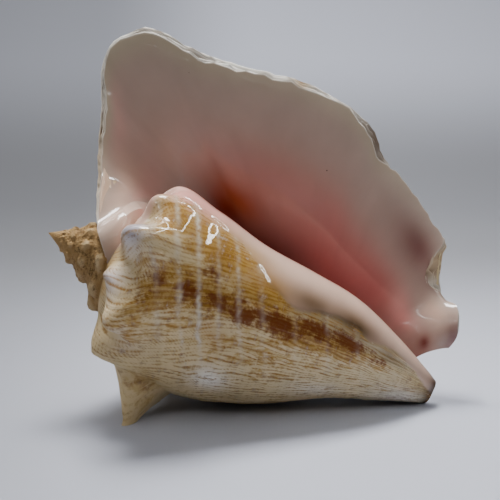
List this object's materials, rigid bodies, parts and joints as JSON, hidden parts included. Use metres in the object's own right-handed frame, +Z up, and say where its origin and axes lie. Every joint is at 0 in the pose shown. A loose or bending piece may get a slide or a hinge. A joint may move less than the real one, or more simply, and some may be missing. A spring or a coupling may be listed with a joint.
{
  "type": "conch shell",
  "caption": "Large conch shell with a knobbed body whorl, a short pointed spire and one broad flared lip, standing on two spines and its front end.",
  "frame": {"origin": "bottom centre of the bounding box, on the surface that the shell stands on", "axes": "+X towards the narrow front end, +Y towards the back of the lip, +Z up as it stands"},
  "size_m": [0.2292, 0.141, 0.2087],
  "materials": {
    "shell": "satin cream outside with tan streaks, glossy pink and cream inside the lip"
  },
  "bodies": {
    "root": {"conch_shell": "shell"}
  },
  "joints": []
}
